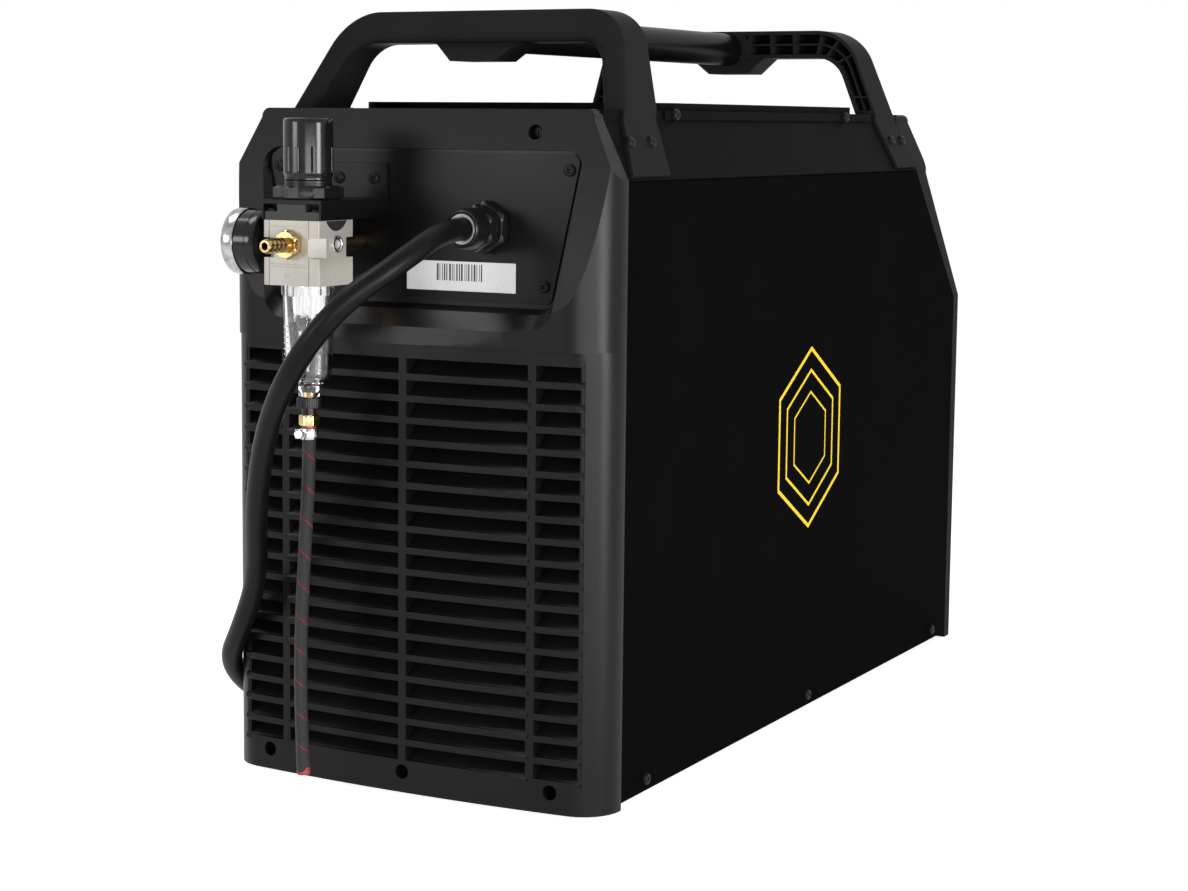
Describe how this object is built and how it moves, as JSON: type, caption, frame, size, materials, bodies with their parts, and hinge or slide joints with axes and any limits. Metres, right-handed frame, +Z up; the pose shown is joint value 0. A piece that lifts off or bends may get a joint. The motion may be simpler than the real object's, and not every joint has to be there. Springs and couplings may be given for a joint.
{
  "type": "plasma cutter",
  "caption": "Portable inverter plasma cutter power source with rear louvred grille, air filter regulator, ribbed top handle arches and a mains lead with coil and plug.",
  "frame": {"origin": "centre of the machine's footprint on the floor, the mains lead with its coil and plug left out", "axes": "+Y is the front with the controls, -Y the rear with the grille and filter, +X the right side seen from the rear, +Z up"},
  "size_m": [0.51, 0.7892, 0.5],
  "materials": {
    "casing_paint": "fine textured black powder coat",
    "moulded_grey": "spark-textured dark grey moulding",
    "handle_plastic": "satin black moulding",
    "grip_steel": "satin black coated tube",
    "rubber": "matt black rubber",
    "screw_steel": "plated steel",
    "gland_plastic": "black nylon",
    "plug_plastic": "red moulded plastic",
    "brass": "machined brass",
    "bracket_steel": "black coated steel",
    "nut_plastic": "smooth black plastic",
    "nickel": "satin cast metal body",
    "chrome_ring": "polished ring",
    "clear_plastic": "clear plastic",
    "white_plastic": "white",
    "pointer_black": "black enamel",
    "aluminium": "extruded aluminium",
    "board_green": "circuit board",
    "copper_wire": "enamelled copper winding",
    "overlay": "printed overlay"
  },
  "bodies": {
    "casing": {"base_pan": "casing_paint", "bracket_nut": "nut_plastic", "cable_gland": "gland_plastic", "capacitors": "aluminium", "casing_screws": "screw_steel", "control_panel": "overlay", "display_window": "clear_plastic", "drain_hose": "rubber", "drain_nipple": "brass", "fan_frame": "handle_plastic", "filter_body": "nickel", "filter_bowl": "clear_plastic", "filter_bracket": "bracket_steel", "filter_element": "white_plastic", "front_bezel": "moulded_grey", "front_handle_arch": "handle_plastic", "gauge_case": "nut_plastic", "gauge_dial": "white_plastic", "gauge_lens": "clear_plastic", "gauge_ring": "chrome_ring", "gland_dome_nut": "gland_plastic", "gland_locknut": "gland_plastic", "grip_tube": "grip_steel", "handle_screws": "screw_steel", "heatsink": "aluminium", "hose_clamp": "screw_steel", "inlet_barb": "brass", "left_shoulder": "casing_paint", "left_side_panel": "casing_paint", "mains_cable": "rubber", "mains_coil": "rubber", "mains_plug": "plug_plastic", "outlet_nipple": "brass", "plate_screws": "screw_steel", "plug_pins": "brass", "port_plug": "screw_steel", "power_board": "board_green", "power_modules": "board_green", "rear_bezel": "moulded_grey", "rear_handle_arch": "handle_plastic", "rear_plate": "casing_paint", "regulator_bonnet": "nut_plastic", "right_shoulder": "casing_paint", "right_side_panel": "casing_paint", "rubber_feet": "rubber", "solenoid_valve": "brass", "switch_plate": "handle_plastic", "top_tray": "casing_paint", "torch_socket": "nut_plastic", "work_socket": "nut_plastic", "wound_cores": "copper_wire"},
    "adjuster": {"adjusting_screw": "screw_steel"},
    "regulator_knob_body": {"regulator_knob": "handle_plastic"},
    "pointer": {"gauge_pointer": "pointer_black"},
    "drain": {"drain_cock": "nut_plastic"},
    "fan": {"fan_rotor": "handle_plastic"},
    "encoder": {"encoder_knob": "handle_plastic"},
    "left_button": {"button_left": "plug_plastic"},
    "right_button": {"button_right": "plug_plastic"},
    "switch": {"power_switch": "handle_plastic"}
  },
  "joints": [
    {"name": "adjuster_turn", "type": "hinge", "parent": "casing", "child": "adjuster", "pos_m": [-0.046, -0.3315, 0.4], "axis": [0, 0, 1], "range_deg": [0, 1440]},
    {"name": "knob_lift", "type": "slide", "parent": "adjuster", "child": "regulator_knob_body", "axis": [0, 0, 1], "range_m": [0, 0.004]},
    {"name": "gauge_swing", "type": "hinge", "parent": "casing", "child": "pointer", "pos_m": [-0.0845, -0.3315, 0.3524], "axis": [1, 0, 0], "range_deg": [0, 270]},
    {"name": "drain_turn", "type": "hinge", "parent": "casing", "child": "drain", "pos_m": [-0.046, -0.3315, 0.253], "axis": [0, 0, 1], "range_deg": [0, 90]},
    {"name": "fan_spin", "type": "hinge", "parent": "casing", "child": "fan", "pos_m": [0, -0.2365, 0.1015], "axis": [0, 1, 0], "continuous": true},
    {"name": "encoder_spin", "type": "hinge", "parent": "casing", "child": "encoder", "pos_m": [-0.062, 0.3178, 0.33585], "axis": [0, 0.7645, 0.6446], "continuous": true},
    {"name": "left_button_press", "type": "slide", "parent": "casing", "child": "left_button", "axis": [0, -0.7645, -0.6446], "range_m": [0, 0.0012], "stiffness_N_per_m": 400},
    {"name": "right_button_press", "type": "slide", "parent": "casing", "child": "right_button", "axis": [0, -0.7645, -0.6446], "range_m": [0, 0.0012], "stiffness_N_per_m": 400},
    {"name": "switch_turn", "type": "hinge", "parent": "casing", "child": "switch", "pos_m": [0.078, 0.36, 0.238], "axis": [0, 1, 0], "range_deg": [0, 90]}
  ]
}
